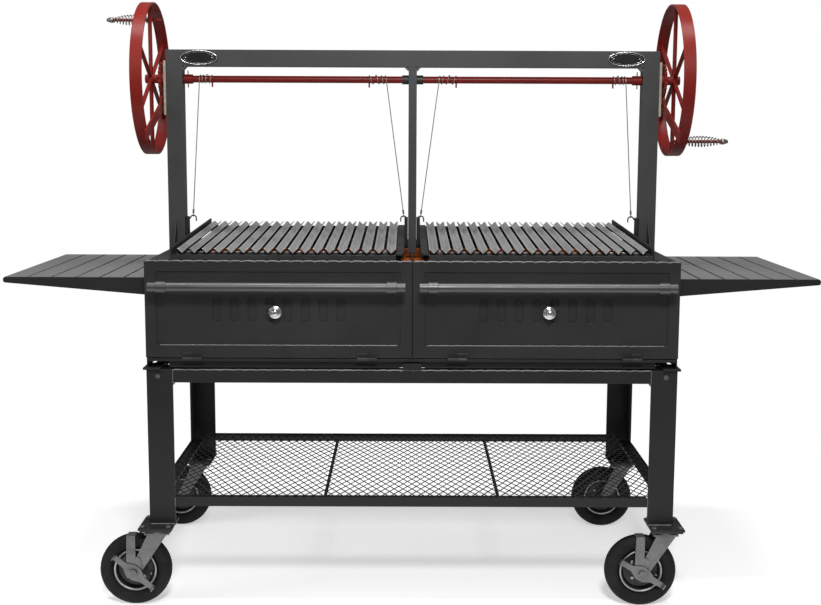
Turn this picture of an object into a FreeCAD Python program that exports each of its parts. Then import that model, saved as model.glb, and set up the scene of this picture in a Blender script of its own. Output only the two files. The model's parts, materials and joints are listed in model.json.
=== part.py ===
import FreeCAD, Part
import math
import os

# A two-bay wood-fired grill on a wheeled cart. A goalpost frame over the firebox carries two
# hand winches, each of which lifts one V-bar grate on a pair of steel cables.
# Millimetres. X is to the right, Y to the back, Z up from the ground. While it is built the
# part has its doors' front face at Y = 0; save() moves the middle of its depth to the origin.

os.makedirs("parts", exist_ok=True)

# ---- driving dimensions -------------------------------------------------------------------

# firebox
box_width = 1524.0
box_depth = 788.0
box_base = 706.0
rim_top = 1009.0
rim_width = 64.0
sheet = 3.0
shell_front = 10.5
fire_floor = 741.0
divider_top = 1000.0
lining_top = 983.0
hinge_rail_top = 732.0
hinge_rail_height = 8.0
skirt_start = 36.0
skirt_end = 698.0
front_rail_height = 21.0
rear_rim_depth = 48.0

# firebrick lining
brick_long = 229.0
brick_tall = 114.0
brick_thick = 32.0
brick_joint = 2.0
lining_gap = 0.5

# doors
door_bottom = 735.0
door_top = 1014.0
door_plate = 4.0
door_seam = 3.0
door_border = 31.0
door_sill = 35.0
door_corner = 8.0
panel_plate = 3.0
panel_lap = 10.0

# vents and sliding dampers
vent_count = 8
vent_pitch = 50.7
vent_width = 25.0
vent_top = 910.5
vent_bottom = 837.0
vent_bridge_low = 857.0
vent_bridge_high = 886.0
damper_plate = 2.0
damper_gap = 0.4
damper_travel = 25.0
knob_offset = 8.0
knob_height = 869.0
knob_diameter = 37.0
knob_stem = 8.0

# door handles
handle_diameter = 27.0
handle_bore = 22.0
handle_standoff = 55.0
handle_height = 945.0
handle_end_gap = 20.0
collar_diameter = 33.0
collar_length = 28.0
collar_inset = 24.0
standoff_diameter = 10.0

# door hinges
hinge_axis_y = -11.0
hinge_axis_z = 733.0
hinge_barrel = 10.0
hinge_pin = 5.0
hinge_half = 28.0
hinge_outer = 148.0
hinge_inner = 129.0
leaf_plate = 3.0

# legs and cart rails
leg_size = 75.0
leg_plate = 6.0
leg_bottom = 241.0
cart_top = 700.0
rail_height = 38.0
rail_plate = 4.0
shelf_low = 296.0
shelf_high = 323.0
shelf_angle = 4.0
cap_width = 50.0
cap_front = 9.0
cap_depth = 85.0
cap_overhang = 8.0
middle_cap_width = 52.0
middle_cap_rise = 13.0
foot_plate = 6.0

# expanded-metal shelf
panel_count = 3
diamond_x = 26.5
diamond_y = 54.0
strand_width = 3.0
strand_thick = 1.5
strand_inset = 5.0
mesh_drop = 4.0
cross_rod = 10.0

# side shelves
wing_reach = 1181.0
wing_front = 58.0
wing_back = 730.0
wing_top = 958.6
wing_root_height = 51.0
wing_tip_height = 16.0
wing_plate = 3.0
wing_corner = 7.0
slat_count = 6
slat_gap = 8.0
slat_thick = 4.0
slat_bearers = 2
bearer_height = 10.0

# upper frame
post_size = 50.8
post_wall = 3.0
post_front = 394.0
beam_top = 1625.5
middle_post = 25.4
gusset_height = 95.0
gusset_depth = 60.0
gusset_plate = 5.0
weld_fillet = 10.0
badge_width = 115.0
badge_height = 43.0
badge_plate = 2.0
badge_x = 659.0
badge_z = 1601.0

# winches
shaft_z = 1536.6
shaft_diameter = 21.3
shaft_bore = 16.0
bearing_play = 0.06
bush_diameter = 28.0
bush_length = 20.0
collar_ring = 29.0
collar_ring_length = 32.0
collar_ring_x = 697.0
cotter_diameter = 3.5
cotter_length = 52.0
boss_diameter = 40.0
plate_thick = 8.0
plate_above = 55.0
plate_below = 110.0
ratchet_x = 776.0
ratchet_thick = 6.0
ratchet_radius = 52.0
ratchet_root = 46.0
ratchet_teeth = 20

# flywheels
wheel_radius = 232.0
wheel_x = 812.0
band_width = 36.0
band_thick = 6.0
spoke_count = 6
spoke_diameter = 12.7
hub_diameter = 27.0
hub_start = 784.0
hub_end = 829.0
crank_radius = 205.0
crank_rod = 10.0
crank_tip_x = 964.0
crank_angle_left = 65.0
crank_angle_right = -115.0
grip_start = 838.0
grip_end = 950.0
grip_waist = 11.0
grip_belly = 17.5

# pawls, placed from the shaft's axis
pawl_pivot_y = 26.0
pawl_pivot_z = -70.0
pawl_tip_y = -262.0
pawl_tip_z = -172.0
pawl_bar = 32.0
pawl_thick = 6.0
pawl_bolt = 10.0
pawl_clearance = 1.0

# lifting cables
cable_diameter = 3.0
anchor_length = 19.0
anchor_diameter = 5.0
cable_drops = [(-82.0, -27.0, -135.0), (-660.0, -689.0, -622.0)]

# grates
bar_count = 18
bar_pitch = 35.4
bar_leg = 19.0
bar_plate = 2.5
bar_first = 61.0
bar_front = 54.0
bar_back = 767.0
bar_low_front = 1029.5
bar_low_back = 1058.0
side_plate = 5.0
inner_plate_height = 20.0
outer_plate_height = 40.0
rear_plate_low = 1013.0
side_plate_drop = 18.0
grate_inner = 24.5
grate_outer = 690.0
strip_drop = 3.0
strip_front = 36.0
strip_width = 17.0
cross_bar = 6.0
cross_bar_height = 16.0
tray_front = 24.0
tray_back = 72.0
tray_low = 1012.5
tray_high = 1028.0
tray_sheet = 2.0
upright_thick = 11.0
outer_upright_x = 703.5
outer_upright_thick = 6.7
foot_height = 8.0
upright_front = 400.0
upright_back = 440.0
upright_top = 1110.0
upright_low = 1024.0
hook_radius = 9.0
hook_rod = 4.0
hook_z = 1114.0

# casters
wheel_diameter = 208.0
tyre_width = 54.0
rim_radius = 62.0
caster_trail = 68.0
caster_x = 740.0
caster_plate_x = 98.0
caster_plate_y = 121.0
caster_plate_thick = 6.0
caster_inset = 4.0
caster_overhang = 45.0
kingpin = 12.0
race_diameter = 72.0
race_height = 9.0
race_gap = 0.4
fork_plate = 5.0
fork_gap = 3.5
axle_diameter = 12.0
bolt_across = 13.0
bolt_height = 6.0
post_screw_heights = (1176.0, 1219.0)
pedal_length = 149.0
pedal_width = 42.0
pedal_end = 15.0
pedal_plate = 4.0
pedal_tilts = {"front_left": -40.0, "front_right": -30.0}
strap_width = 25.0
strap_lug = 15.0

# ---- derived ------------------------------------------------------------------------------

half = box_width / 2
shaft_y = post_front + post_size / 2
beam_low = beam_top - post_size
rail_low = cart_top - rail_height
inner_wall = half - rim_width
cavity_back = box_depth - rear_rim_depth
reach_front = -(handle_standoff + collar_diameter / 2)
reach_back = box_depth + caster_overhang
middle_y = (reach_front + reach_back) / 2
wheel_centre = wheel_diameter / 2
plate_low = leg_bottom - foot_plate - caster_plate_thick
door_middle = half / 2
shaft_r = shaft_diameter / 2
bearing_r = shaft_r + bearing_play

X = FreeCAD.Vector(1, 0, 0)
Y = FreeCAD.Vector(0, 1, 0)
Z = FreeCAD.Vector(0, 0, 1)


# ---- helpers ------------------------------------------------------------------------------

def point(x, y, z):
    return FreeCAD.Vector(x, y, z)


def block(x0, x1, y0, y1, z0, z1):
    return Part.makeBox(x1 - x0, y1 - y0, z1 - z0, point(x0, y0, z0))


def rod(start, direction, diameter, length):
    return Part.makeCylinder(diameter / 2, length, start, direction)


def tube(start, direction, outer, inner, length):
    return rod(start, direction, outer, length).cut(rod(start, direction, inner, length))


def between(start, end, diameter):
    way = end.sub(start)
    return Part.makeCylinder(diameter / 2, way.Length, start, way)


def prism(corners, way):
    return Part.Face(Part.makePolygon(corners + [corners[0]])).extrude(way)


def hexagon(centre, direction, across, height):
    """A hexagonal bolt head that stands on centre and points along direction."""
    placement = FreeCAD.Placement(centre, FreeCAD.Rotation(Z, direction))
    corner = across / 2 / math.cos(math.radians(30))
    corners = []
    for turn in range(6):
        angle = math.radians(60 * turn)
        flat = point(corner * math.cos(angle), corner * math.sin(angle), 0)
        corners.append(placement.multVec(flat))
    return prism(corners, FreeCAD.Vector(direction).multiply(height))


def rounded_plate(x0, x1, z0, z1, radius, y0, y1):
    """A plate in the XZ plane, y0 to y1 thick, with its four corners rounded."""
    plate = block(x0, x1, y0, y1, z0, z1)
    upright_edges = [e for e in plate.Edges if abs(e.tangentAt(e.FirstParameter).y) > 0.99]
    return plate.makeFillet(radius, upright_edges)


def mirrored(shapes):
    return [shape.mirror(point(0, 0, 0), X) for shape in shapes]


def front_to_back(shape):
    """The same piece at the cart's other end."""
    return shape.mirror(point(0, box_depth / 2, 0), Y)


def save(node, shapes):
    placed = []
    for shape in shapes:
        copy = shape.copy()
        copy.translate(point(0, -middle_y, 0))
        placed.append(copy)
    Part.makeCompound(placed).exportStep("parts/" + node + ".step")


def save_pair(node, shapes):
    """Shapes for the right-hand side, and their mirror image for the left."""
    save(node + "_right", shapes)
    save(node + "_left", mirrored(shapes))


# ---- cart ---------------------------------------------------------------------------------

def cart_legs():
    profile = [(half - leg_size, 0), (half, 0), (half, leg_size), (half - leg_plate, leg_size),
               (half - leg_plate, leg_plate), (half - leg_size, leg_plate)]
    corners = [point(x, y, leg_bottom) for x, y in profile]
    leg = prism(corners, Z * (cart_top - leg_bottom))
    top = block(half - leg_size, half - leg_plate, leg_plate, leg_size, cart_top - leg_plate, cart_top)
    _, x, y = caster_centres()[1]
    foot = block(x - caster_plate_x / 2, x + caster_plate_x / 2, y - caster_plate_y / 2,
                 y + caster_plate_y / 2, leg_bottom - foot_plate, leg_bottom)
    front = leg.fuse(top).fuse(foot).removeSplitter()
    right = [front, front_to_back(front)]
    save("cart_legs", right + mirrored(right))


def angle_frame(low, high, plate, drop):
    """Four lengths of angle between the legs; the flat flange lies drop below the top edge."""
    shelf = high - drop
    run = half - leg_size
    front = block(-run, run, 0, plate, low, high)
    front_flange = block(-run, run, plate, rail_height, shelf - plate, shelf)
    edge = half - leg_plate
    side = block(edge - plate, edge, leg_size, box_depth - leg_size, low, high)
    side_flange = block(edge - rail_height, edge - plate, leg_size, box_depth - leg_size, shelf - plate, shelf)
    pieces = [front.fuse(front_flange).removeSplitter()]
    pieces.append(front_to_back(pieces[0]))
    pieces.append(side.fuse(side_flange).removeSplitter())
    pieces += mirrored(pieces[2:])
    return pieces


def shelf_frame():
    pieces = angle_frame(shelf_low, shelf_high, shelf_angle, mesh_drop)
    pitch = box_width / panel_count
    z = shelf_high - mesh_drop - cross_rod / 2
    for x in (-pitch / 2, pitch / 2):
        pieces.append(rod(point(x, rail_height, z), Y, cross_rod, box_depth - 2 * rail_height))
    save("shelf_frame", pieces)


def strands(x0, x1, z):
    """Parallel strands along one side of the diamonds, cut to the panel's outline."""
    y0 = 2 * leg_plate
    y1 = box_depth - y0
    run = (y1 - y0) * diamond_x / diamond_y
    half_width = strand_width / 2 * math.hypot(diamond_x, diamond_y) / diamond_y
    panel = block(x0, x1, y0, y1, z, z + strand_thick)
    pieces = []
    for index in range(1, int((x1 - x0 + run) / diamond_x)):
        foot = x0 - run + index * diamond_x
        corners = [point(foot - half_width, y0, z), point(foot + half_width, y0, z),
                   point(foot + half_width + run, y1, z), point(foot - half_width + run, y1, z)]
        pieces.extend(prism(corners, Z * strand_thick).common(panel).Solids)
    return pieces


def shelf_mesh():
    """Three panels of expanded metal, each as two crossing layers of strands."""
    pitch = box_width / panel_count
    edge = half - leg_plate - shelf_angle - strand_inset
    seams = [-edge, -pitch / 2, pitch / 2, edge]
    z = shelf_high - mesh_drop
    pieces = []
    for left, right in zip(seams, seams[1:]):
        x0 = left + strand_inset / 2
        x1 = right - strand_inset / 2
        pieces += strands(x0, x1, z)
        middle = point((x0 + x1) / 2, 0, 0)
        pieces += [strand.mirror(middle, X) for strand in strands(x0, x1, z + strand_thick)]
    save("shelf_mesh", pieces)


def frame_brackets():
    cap = block(half - cap_width + cap_overhang, half + cap_overhang, -cap_front,
                cap_depth - cap_front, cart_top, box_base)
    middle = block(-middle_cap_width / 2, middle_cap_width / 2, -cap_front / 2, cap_depth, cart_top, box_base)
    raised = block(-middle_cap_width / 2, middle_cap_width / 2, -cap_front / 2, shell_front, cart_top,
                   box_base + middle_cap_rise)
    caps = [cap, front_to_back(cap)]
    gusset = prism([point(half - post_size / 2, post_front, rim_top),
                    point(half - post_size / 2, post_front - gusset_depth, rim_top),
                    point(half - post_size / 2, post_front, rim_top + gusset_height)],
                   X * gusset_plate)
    pieces = caps + mirrored(caps) + [middle.fuse(raised).removeSplitter(), front_to_back(middle)]
    pieces += [gusset] + mirrored([gusset])
    save("frame_brackets", pieces)


# ---- firebox ------------------------------------------------------------------------------

def firebox_shell():
    under_rim = rim_top - sheet
    right = [
        block(half - sheet, half, shell_front, box_depth, box_base, under_rim),
        block(inner_wall, half, shell_front, box_depth, under_rim, rim_top),
        block(inner_wall, inner_wall + sheet, shell_front, cavity_back, fire_floor, under_rim),
    ]
    outer = half - sheet
    middle = [
        block(-outer, outer, box_depth - sheet, box_depth, box_base, under_rim),
        block(-inner_wall, inner_wall, cavity_back, box_depth, under_rim, rim_top),
        block(-inner_wall - sheet, inner_wall + sheet, cavity_back, cavity_back + sheet, fire_floor,
              under_rim),
        block(-outer, outer, shell_front, box_depth - sheet, fire_floor - sheet, fire_floor),
        block(-sheet, sheet, shell_front + sheet, cavity_back, fire_floor, divider_top),
        hinge_rail(outer),
        block(-skirt_start, skirt_start, shell_front, shell_front + sheet, box_base,
              hinge_rail_top - hinge_rail_height),
        block(-inner_wall, inner_wall, shell_front, shell_front + sheet, under_rim - front_rail_height,
              under_rim),
        block(-middle_post - sheet, middle_post + sheet, shell_front, shell_front + 2 * middle_post,
              under_rim, rim_top),
    ]
    skirt = block(skirt_start, skirt_end, shell_front, shell_front + sheet, box_base,
                  hinge_rail_top - hinge_rail_height)
    lip = block(skirt_start, skirt_end, sheet, shell_front, box_base, box_base + sheet)
    right.append(skirt.fuse(lip).removeSplitter())
    save("firebox_shell", right + mirrored(right) + middle)


def hinge_rail(outer):
    """The pressed rail under the doors that carries their hinges."""
    low = hinge_rail_top - hinge_rail_height
    face = block(-outer, outer, 0, sheet, low, hinge_rail_top)
    shelf = block(-outer, outer, 0, shell_front, hinge_rail_top - sheet, hinge_rail_top)
    web = block(-outer, outer, shell_front, shell_front + sheet, low, fire_floor - sheet)
    return face.fuse(shelf).fuse(web).removeSplitter()


def brick_rows(length, step, joint):
    """Start and end of each brick along a wall, with the last one cut to fit."""
    rows = []
    start = 0.0
    while start < length - 4 * joint:
        end = min(start + step, length)
        rows.append((start, end))
        start = end + joint
    return rows


def fire_bricks():
    """One bay's lining: floor, rear wall, outer wall and the bay's side of the divider."""
    x0 = sheet + lining_gap
    x1 = inner_wall - lining_gap
    y0 = shell_front + sheet + lining_gap
    y1 = cavity_back - lining_gap
    z0 = fire_floor
    z1 = z0 + brick_thick
    bricks = []
    for a, b in brick_rows(x1 - x0, brick_tall, brick_joint):
        for c, d in brick_rows(y1 - y0, brick_long, brick_joint):
            bricks.append(block(x0 + a, x0 + b, y0 + c, y0 + d, z0, z1))
    for e, f in brick_rows(lining_top - z1 - brick_joint, brick_tall, brick_joint):
        low = z1 + brick_joint + e
        high = z1 + brick_joint + f
        for a, b in brick_rows(x1 - x0, brick_long, brick_joint):
            bricks.append(block(x0 + a, x0 + b, y1 - brick_thick, y1, low, high))
        side_end = y1 - brick_thick - brick_joint
        for c, d in brick_rows(side_end - y0, brick_long, brick_joint):
            bricks.append(block(x1 - brick_thick, x1, y0 + c, y0 + d, low, high))
            bricks.append(block(x0, x0 + brick_thick, y0 + c, y0 + d, low, high))
    save("fire_bricks", bricks + mirrored(bricks))


# ---- doors --------------------------------------------------------------------------------

def vent_slot(x, low, high, y0, y1, flat_low=False, flat_high=False):
    radius = vent_width / 2
    left = x - radius
    right = x + radius
    slot = block(left, right, y0, y1, low if flat_low else low + radius, high if flat_high else high - radius)
    if not flat_low:
        slot = slot.fuse(Part.makeCylinder(radius, y1 - y0, point(x, y0, low + radius), Y))
    if not flat_high:
        slot = slot.fuse(Part.makeCylinder(radius, y1 - y0, point(x, y0, high - radius), Y))
    return slot


def vent_centres():
    first = door_middle - vent_pitch * (vent_count - 1) / 2
    return [first + vent_pitch * index for index in range(vent_count)]


def knob_x():
    return door_middle + knob_offset


def door_frame():
    x0 = door_seam / 2
    plate = block(x0, half, 0, door_plate, door_bottom, door_top)
    opening = rounded_plate(x0 + door_border, half - door_border, door_bottom + door_sill,
                            door_top - door_border, door_corner, -1, door_plate + 1)
    pieces = [plate.cut(opening)]
    for x in (hinge_inner, half - hinge_outer + hinge_half / 2):
        pieces.extend(hinge_half_on_door(x))
    save_pair("door_frame", pieces)


def hinge_half_on_door(x):
    bore = hinge_pin + 2 * bearing_play
    start = point(x + 0.4, hinge_axis_y, hinge_axis_z)
    barrel = tube(start, X, hinge_barrel, bore, hinge_half)
    radius = hinge_barrel / 2
    leaf = block(start.x, start.x + hinge_half, hinge_axis_y + radius - 0.5, -0.5 + leaf_plate / 6,
                 hinge_axis_z, hinge_axis_z + leaf_plate)
    lift = block(start.x, start.x + hinge_half, -leaf_plate, 0, hinge_axis_z, hinge_axis_z + 5 * leaf_plate)
    clear = rod(start, X, hinge_barrel, hinge_half)
    leaf = leaf.cut(clear)
    return [barrel.fuse(leaf).fuse(lift.cut(clear)).removeSplitter()]


def frame_hinges():
    pieces = []
    radius = hinge_barrel / 2
    for x in (hinge_inner, half - hinge_outer + hinge_half / 2):
        start = point(x - hinge_half, hinge_axis_y, hinge_axis_z)
        barrel = rod(start, X, hinge_barrel, hinge_half)
        pin = rod(point(x, hinge_axis_y, hinge_axis_z), X, hinge_pin, hinge_half)
        leaf = block(start.x, x, hinge_axis_y, 0, hinge_axis_z - radius, hinge_axis_z - radius + leaf_plate)
        pad = block(start.x, x, -leaf_plate, 0, hinge_axis_z - 3 * leaf_plate, hinge_axis_z - radius)
        pieces.append(barrel.fuse(pin).fuse(leaf).fuse(pad).removeSplitter())
    save("frame_hinges", pieces + mirrored(pieces))


def door_panel():
    x0 = door_seam / 2 + door_border - panel_lap
    x1 = half - door_border + panel_lap
    back = door_plate + panel_plate
    panel = block(x0, x1, door_plate, back, door_bottom + door_sill - panel_lap,
                  door_top - door_border + panel_lap)
    split = vent_count // 2
    for index, x in enumerate(vent_centres()):
        if index == split:
            panel = panel.cut(vent_slot(x, vent_bridge_high, vent_top, 0, back + 1, flat_low=True))
            panel = panel.cut(vent_slot(x, vent_bottom, vent_bridge_low, 0, back + 1, flat_high=True))
        else:
            panel = panel.cut(vent_slot(x, vent_bottom, vent_top, 0, back + 1))
    stem = knob_stem / 2 + damper_gap
    way = block(knob_x() - stem, knob_x() + damper_travel + stem, 0, back + 1, knob_height - stem,
                knob_height + stem)
    save_pair("door_panel", [panel.cut(way)])


def damper_plates():
    """A slotted strip behind the vents; at rest its slots lie between the panel's."""
    front = door_plate + panel_plate + damper_gap
    reach = vent_pitch * vent_count / 2
    plate = block(door_middle - reach, door_middle + reach, front, front + damper_plate,
                  vent_bottom - 8, vent_top + 8)
    for x in vent_centres():
        centre = x - vent_pitch / 2
        if centre > door_middle - reach + vent_width and abs(centre - knob_x()) > vent_width:
            plate = plate.cut(vent_slot(centre, vent_bottom, vent_top, 0, front + damper_plate + 1))
    save_pair("damper_plate", [plate])


def damper_knobs():
    front = door_plate + panel_plate + damper_gap
    stem_length = front + 14
    stem = rod(point(knob_x(), front, knob_height), Y * -1, knob_stem, stem_length)
    outline = [(0, 0), (9, 0), (9, 4), (knob_diameter / 2 - 2, 8), (knob_diameter / 2, 12),
               (knob_diameter / 2, 17), (knob_diameter / 2 - 4, 22), (8, 24), (0, 25)]
    base_y = front - stem_length
    corners = [point(knob_x() + r, base_y - h, knob_height) for r, h in outline]
    face = Part.Face(Part.makePolygon(corners + [corners[0]]))
    knob = face.revolve(point(knob_x(), 0, knob_height), Y, 360)
    save_pair("damper_knob", [stem, knob])


def door_handles():
    x0 = handle_end_gap
    x1 = half - handle_end_gap
    start = point(x0, -handle_standoff, handle_height)
    pieces = [tube(start, X, handle_diameter, handle_bore, x1 - x0)]
    for x in (x0 + collar_inset, x1 - collar_inset - collar_length):
        ring_start = point(x, -handle_standoff, handle_height)
        pieces.append(tube(ring_start, X, collar_diameter, handle_diameter, collar_length))
        foot = point(x + collar_length / 2, door_plate, handle_height + 4)
        leg = rod(foot, Y * -1, standoff_diameter, handle_standoff + door_plate)
        pieces.append(leg.cut(rod(ring_start, X, collar_diameter, collar_length)).Solids[0])
    save_pair("door_handle", pieces)


# ---- side shelves -------------------------------------------------------------------------

def side_shelves():
    root = half
    low_root = wing_top - wing_root_height
    low_tip = wing_top - wing_tip_height

    def skirt(y):
        plate = prism([point(root, y, low_root), point(root, y, wing_top), point(wing_reach, y, wing_top),
                       point(wing_reach, y, low_tip)], Y * wing_plate)
        corner = [e for e in plate.Edges
                  if abs(e.tangentAt(e.FirstParameter).y) > 0.99 and e.CenterOfMass.x > wing_reach - 1]
        return plate.makeFillet(wing_corner, corner)

    front = wing_front + wing_plate
    back = wing_back - wing_plate
    slat_low = wing_top - slat_thick
    frame = [
        skirt(wing_front),
        skirt(back),
        block(root, root + wing_plate, front, back, low_root, slat_low),
        block(wing_reach - 2 * wing_plate, wing_reach - wing_plate, front, back, low_tip + wing_plate,
              slat_low),
    ]
    for index in range(1, slat_bearers + 1):
        y = front + (back - front) * index / (slat_bearers + 1)
        frame.append(block(root + wing_plate, wing_reach - 2 * wing_plate, y, y + wing_plate,
                           slat_low - bearer_height, slat_low))
    pitch = (wing_reach - root) / slat_count
    slats = []
    for index in range(slat_count):
        x0 = root + pitch * index + slat_gap / 2
        x1 = root + pitch * (index + 1) - slat_gap / 2
        slats.append(block(x0, x1, front, back, slat_low, wing_top))
    save("side_shelf_frames", frame + mirrored(frame))
    save("side_shelf_slats", slats + mirrored(slats))


# ---- upper frame --------------------------------------------------------------------------

def upper_frame():
    x0 = half - post_size
    back = post_front + post_size
    wall = post_wall
    post = block(x0, half, post_front, back, rim_top, beam_low)
    post = post.cut(block(x0 + wall, half - wall, post_front + wall, back - wall, rim_top, beam_low))
    post = post.cut(rod(point(x0 - 1, shaft_y, shaft_z), X, shaft_diameter + 2, post_size + 2))
    beam = block(-half, half, post_front, back, beam_low, beam_top)
    beam = beam.cut(block(-half + wall, half - wall, post_front + wall, back - wall, beam_low + wall,
                          beam_top - wall))
    middle = block(-middle_post / 2, middle_post / 2, post_front, back, divider_top, beam_low)
    corner = prism([point(x0, post_front + wall, beam_low), point(x0 - weld_fillet, post_front + wall, beam_low),
                    point(x0, post_front + wall, beam_low - weld_fillet)], Y * (post_size - 2 * wall))
    inner = prism([point(middle_post / 2, post_front + wall, beam_low),
                   point(middle_post / 2 + weld_fillet, post_front + wall, beam_low),
                   point(middle_post / 2, post_front + wall, beam_low - weld_fillet)],
                  Y * (post_size - 2 * wall))
    pieces = [post, corner, inner]
    save("upper_frame", pieces + mirrored(pieces) + [beam, middle])


def badges():
    ellipse = Part.Ellipse(point(0, 0, 0), badge_width / 2, badge_height / 2)
    face = Part.Face(Part.Wire(ellipse.toShape()))
    plate = face.extrude(Z * badge_plate)
    plate.rotate(point(0, 0, 0), X, 90)
    plate.translate(point(badge_x, post_front, badge_z))
    save("badges", [plate] + mirrored([plate]))


# ---- winches ------------------------------------------------------------------------------

def winch_plates():
    """Bearing plates on the posts, with the pawl's bolt standing out of each."""
    plate = block(half, half + plate_thick, post_front + 4, post_front + post_size - 4,
                  shaft_z - plate_below, shaft_z + plate_above)
    plate = plate.cut(rod(point(half - 1, shaft_y, shaft_z), X, 2 * bearing_r, plate_thick + 2))
    bolt_at = point(half + plate_thick, shaft_y + pawl_pivot_y, shaft_z + pawl_pivot_z)
    ear = block(half, half + plate_thick, post_front + post_size - 4, bolt_at.y + pawl_bolt,
                bolt_at.z - pawl_bolt, bolt_at.z + pawl_bolt)
    plate = plate.fuse(ear).removeSplitter()
    reach = ratchet_x + ratchet_thick + 1 - bolt_at.x
    bolt = rod(bolt_at, X, pawl_bolt, reach)
    washer = tube(bolt_at, X, 2 * pawl_bolt, pawl_bolt, ratchet_x - bolt_at.x - 0.4)
    head = hexagon(point(bolt_at.x + reach, bolt_at.y, bolt_at.z), X, 17, bolt_height)
    pieces = [plate, bolt, washer, head]
    save("winch_plates", pieces + mirrored(pieces))


def centre_bushes():
    start = point(middle_post / 2, shaft_y, shaft_z)
    cup = rod(start, X, bush_diameter, bush_length)
    cup = cup.cut(rod(start, X, 2 * bearing_r, bush_length))
    save("centre_bushes", [cup] + mirrored([cup]))


def winch_shafts():
    inner_end = middle_post / 2 + 0.5
    start = point(inner_end, shaft_y, shaft_z)
    shaft = tube(start, X, shaft_diameter, shaft_bore, hub_end - inner_end)
    pin_start = point(collar_ring_x, shaft_y, shaft_z - cotter_length / 2)
    pin = rod(pin_start, Z, cotter_diameter, cotter_length)
    ring = tube(point(collar_ring_x - collar_ring_length / 2 + 1, shaft_y, shaft_z), X, collar_ring,
                shaft_diameter, collar_ring_length - 4)
    boss_start = half + plate_thick + 0.5
    boss = tube(point(boss_start, shaft_y, shaft_z), X, boss_diameter, shaft_diameter, ratchet_x - boss_start)
    pieces = [shaft.cut(pin), ring.cut(pin), pin, boss]
    for _, _, anchor_x in cable_drops:
        top = point(-anchor_x, shaft_y, shaft_z - shaft_r)
        pieces.append(rod(top, Z * -1, anchor_diameter, anchor_length - shaft_r + 5))
    pieces[4:] = [anchor.cut(shaft) for anchor in pieces[4:]]
    save_pair("winch_shaft", pieces)


def ratchets():
    corners = []
    step = 2 * math.pi / ratchet_teeth
    for tooth in range(ratchet_teeth):
        for radius, turn in ((ratchet_root, 0.0), (ratchet_radius, 0.15), (ratchet_radius, 0.4)):
            angle = step * (tooth + turn)
            corners.append(point(ratchet_x, shaft_y + radius * math.sin(angle),
                                 shaft_z + radius * math.cos(angle)))
    disc = prism(corners, X * ratchet_thick)
    disc = disc.cut(rod(point(ratchet_x - 1, shaft_y, shaft_z), X, shaft_diameter, ratchet_thick + 2))
    save_pair("ratchet_wheel", [disc])


def flywheel(crank_angle):
    """Right-hand wheel: a rolled band, round spokes, a hub and the crank's rod."""
    band = tube(point(wheel_x - band_width / 2, shaft_y, shaft_z), X, 2 * wheel_radius,
                2 * (wheel_radius - band_thick), band_width)
    hub = tube(point(hub_start, shaft_y, shaft_z), X, hub_diameter, shaft_diameter, hub_end - hub_start)
    hub_core = rod(point(hub_start, shaft_y, shaft_z), X, hub_diameter, hub_end - hub_start)
    pieces = [band, hub]
    inside = rod(point(wheel_x - band_width / 2, shaft_y, shaft_z), X, 2 * (wheel_radius - band_thick),
                 band_width)
    for index in range(spoke_count):
        angle = 2 * math.pi * index / spoke_count
        way = point(0, math.sin(angle), math.cos(angle))
        spoke = rod(point(wheel_x, shaft_y, shaft_z), way, spoke_diameter, wheel_radius)
        pieces.append(spoke.common(inside).cut(hub_core).Solids[0])
    angle = math.radians(crank_angle)
    centre = point(wheel_x - band_width / 2, shaft_y + crank_radius * math.cos(angle),
                   shaft_z + crank_radius * math.sin(angle))
    pieces.append(rod(centre, X, crank_rod, crank_tip_x - centre.x).common(rod_space(centre, inside)))
    return pieces, centre


def rod_space(centre, inside):
    """Inside the band up to its outer edge, and free beyond it."""
    beyond = block(wheel_x + band_width / 2, crank_tip_x, centre.y - crank_rod, centre.y + crank_rod,
                   centre.z - crank_rod, centre.z + crank_rod)
    return inside.fuse(beyond)


def crank_grip(centre):
    """The envelope of a tapered coil-spring grip, hollow over the crank's rod."""
    length = grip_end - grip_start
    outline = [(0, grip_waist), (0.3, grip_belly), (0.55, grip_belly - 1), (1.0, grip_waist - 2)]
    inner = crank_rod / 2 + 0.5
    corners = [point(grip_start, centre.y + inner, centre.z)]
    for share, radius in outline:
        corners.append(point(grip_start + share * length, centre.y + radius, centre.z))
    corners.append(point(grip_end, centre.y + inner, centre.z))
    grip = Part.Face(Part.makePolygon(corners + [corners[0]])).revolve(centre, X, 360)
    nose = Part.makeCone(grip_waist - 2, crank_rod / 2 + 1, crank_tip_x - grip_end,
                         point(grip_end, centre.y, centre.z), X)
    nose = nose.cut(rod(point(grip_end, centre.y, centre.z), X, crank_rod, crank_tip_x - grip_end))
    return [grip, nose]


def winches():
    winch_shafts()
    ratchets()
    right, right_centre = flywheel(crank_angle_right)
    left, left_centre = flywheel(crank_angle_left)
    save("flywheel_right", right)
    save("flywheel_left", mirrored(left))
    save("crank_grip_right", crank_grip(right_centre))
    save("crank_grip_left", mirrored(crank_grip(left_centre)))


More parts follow.
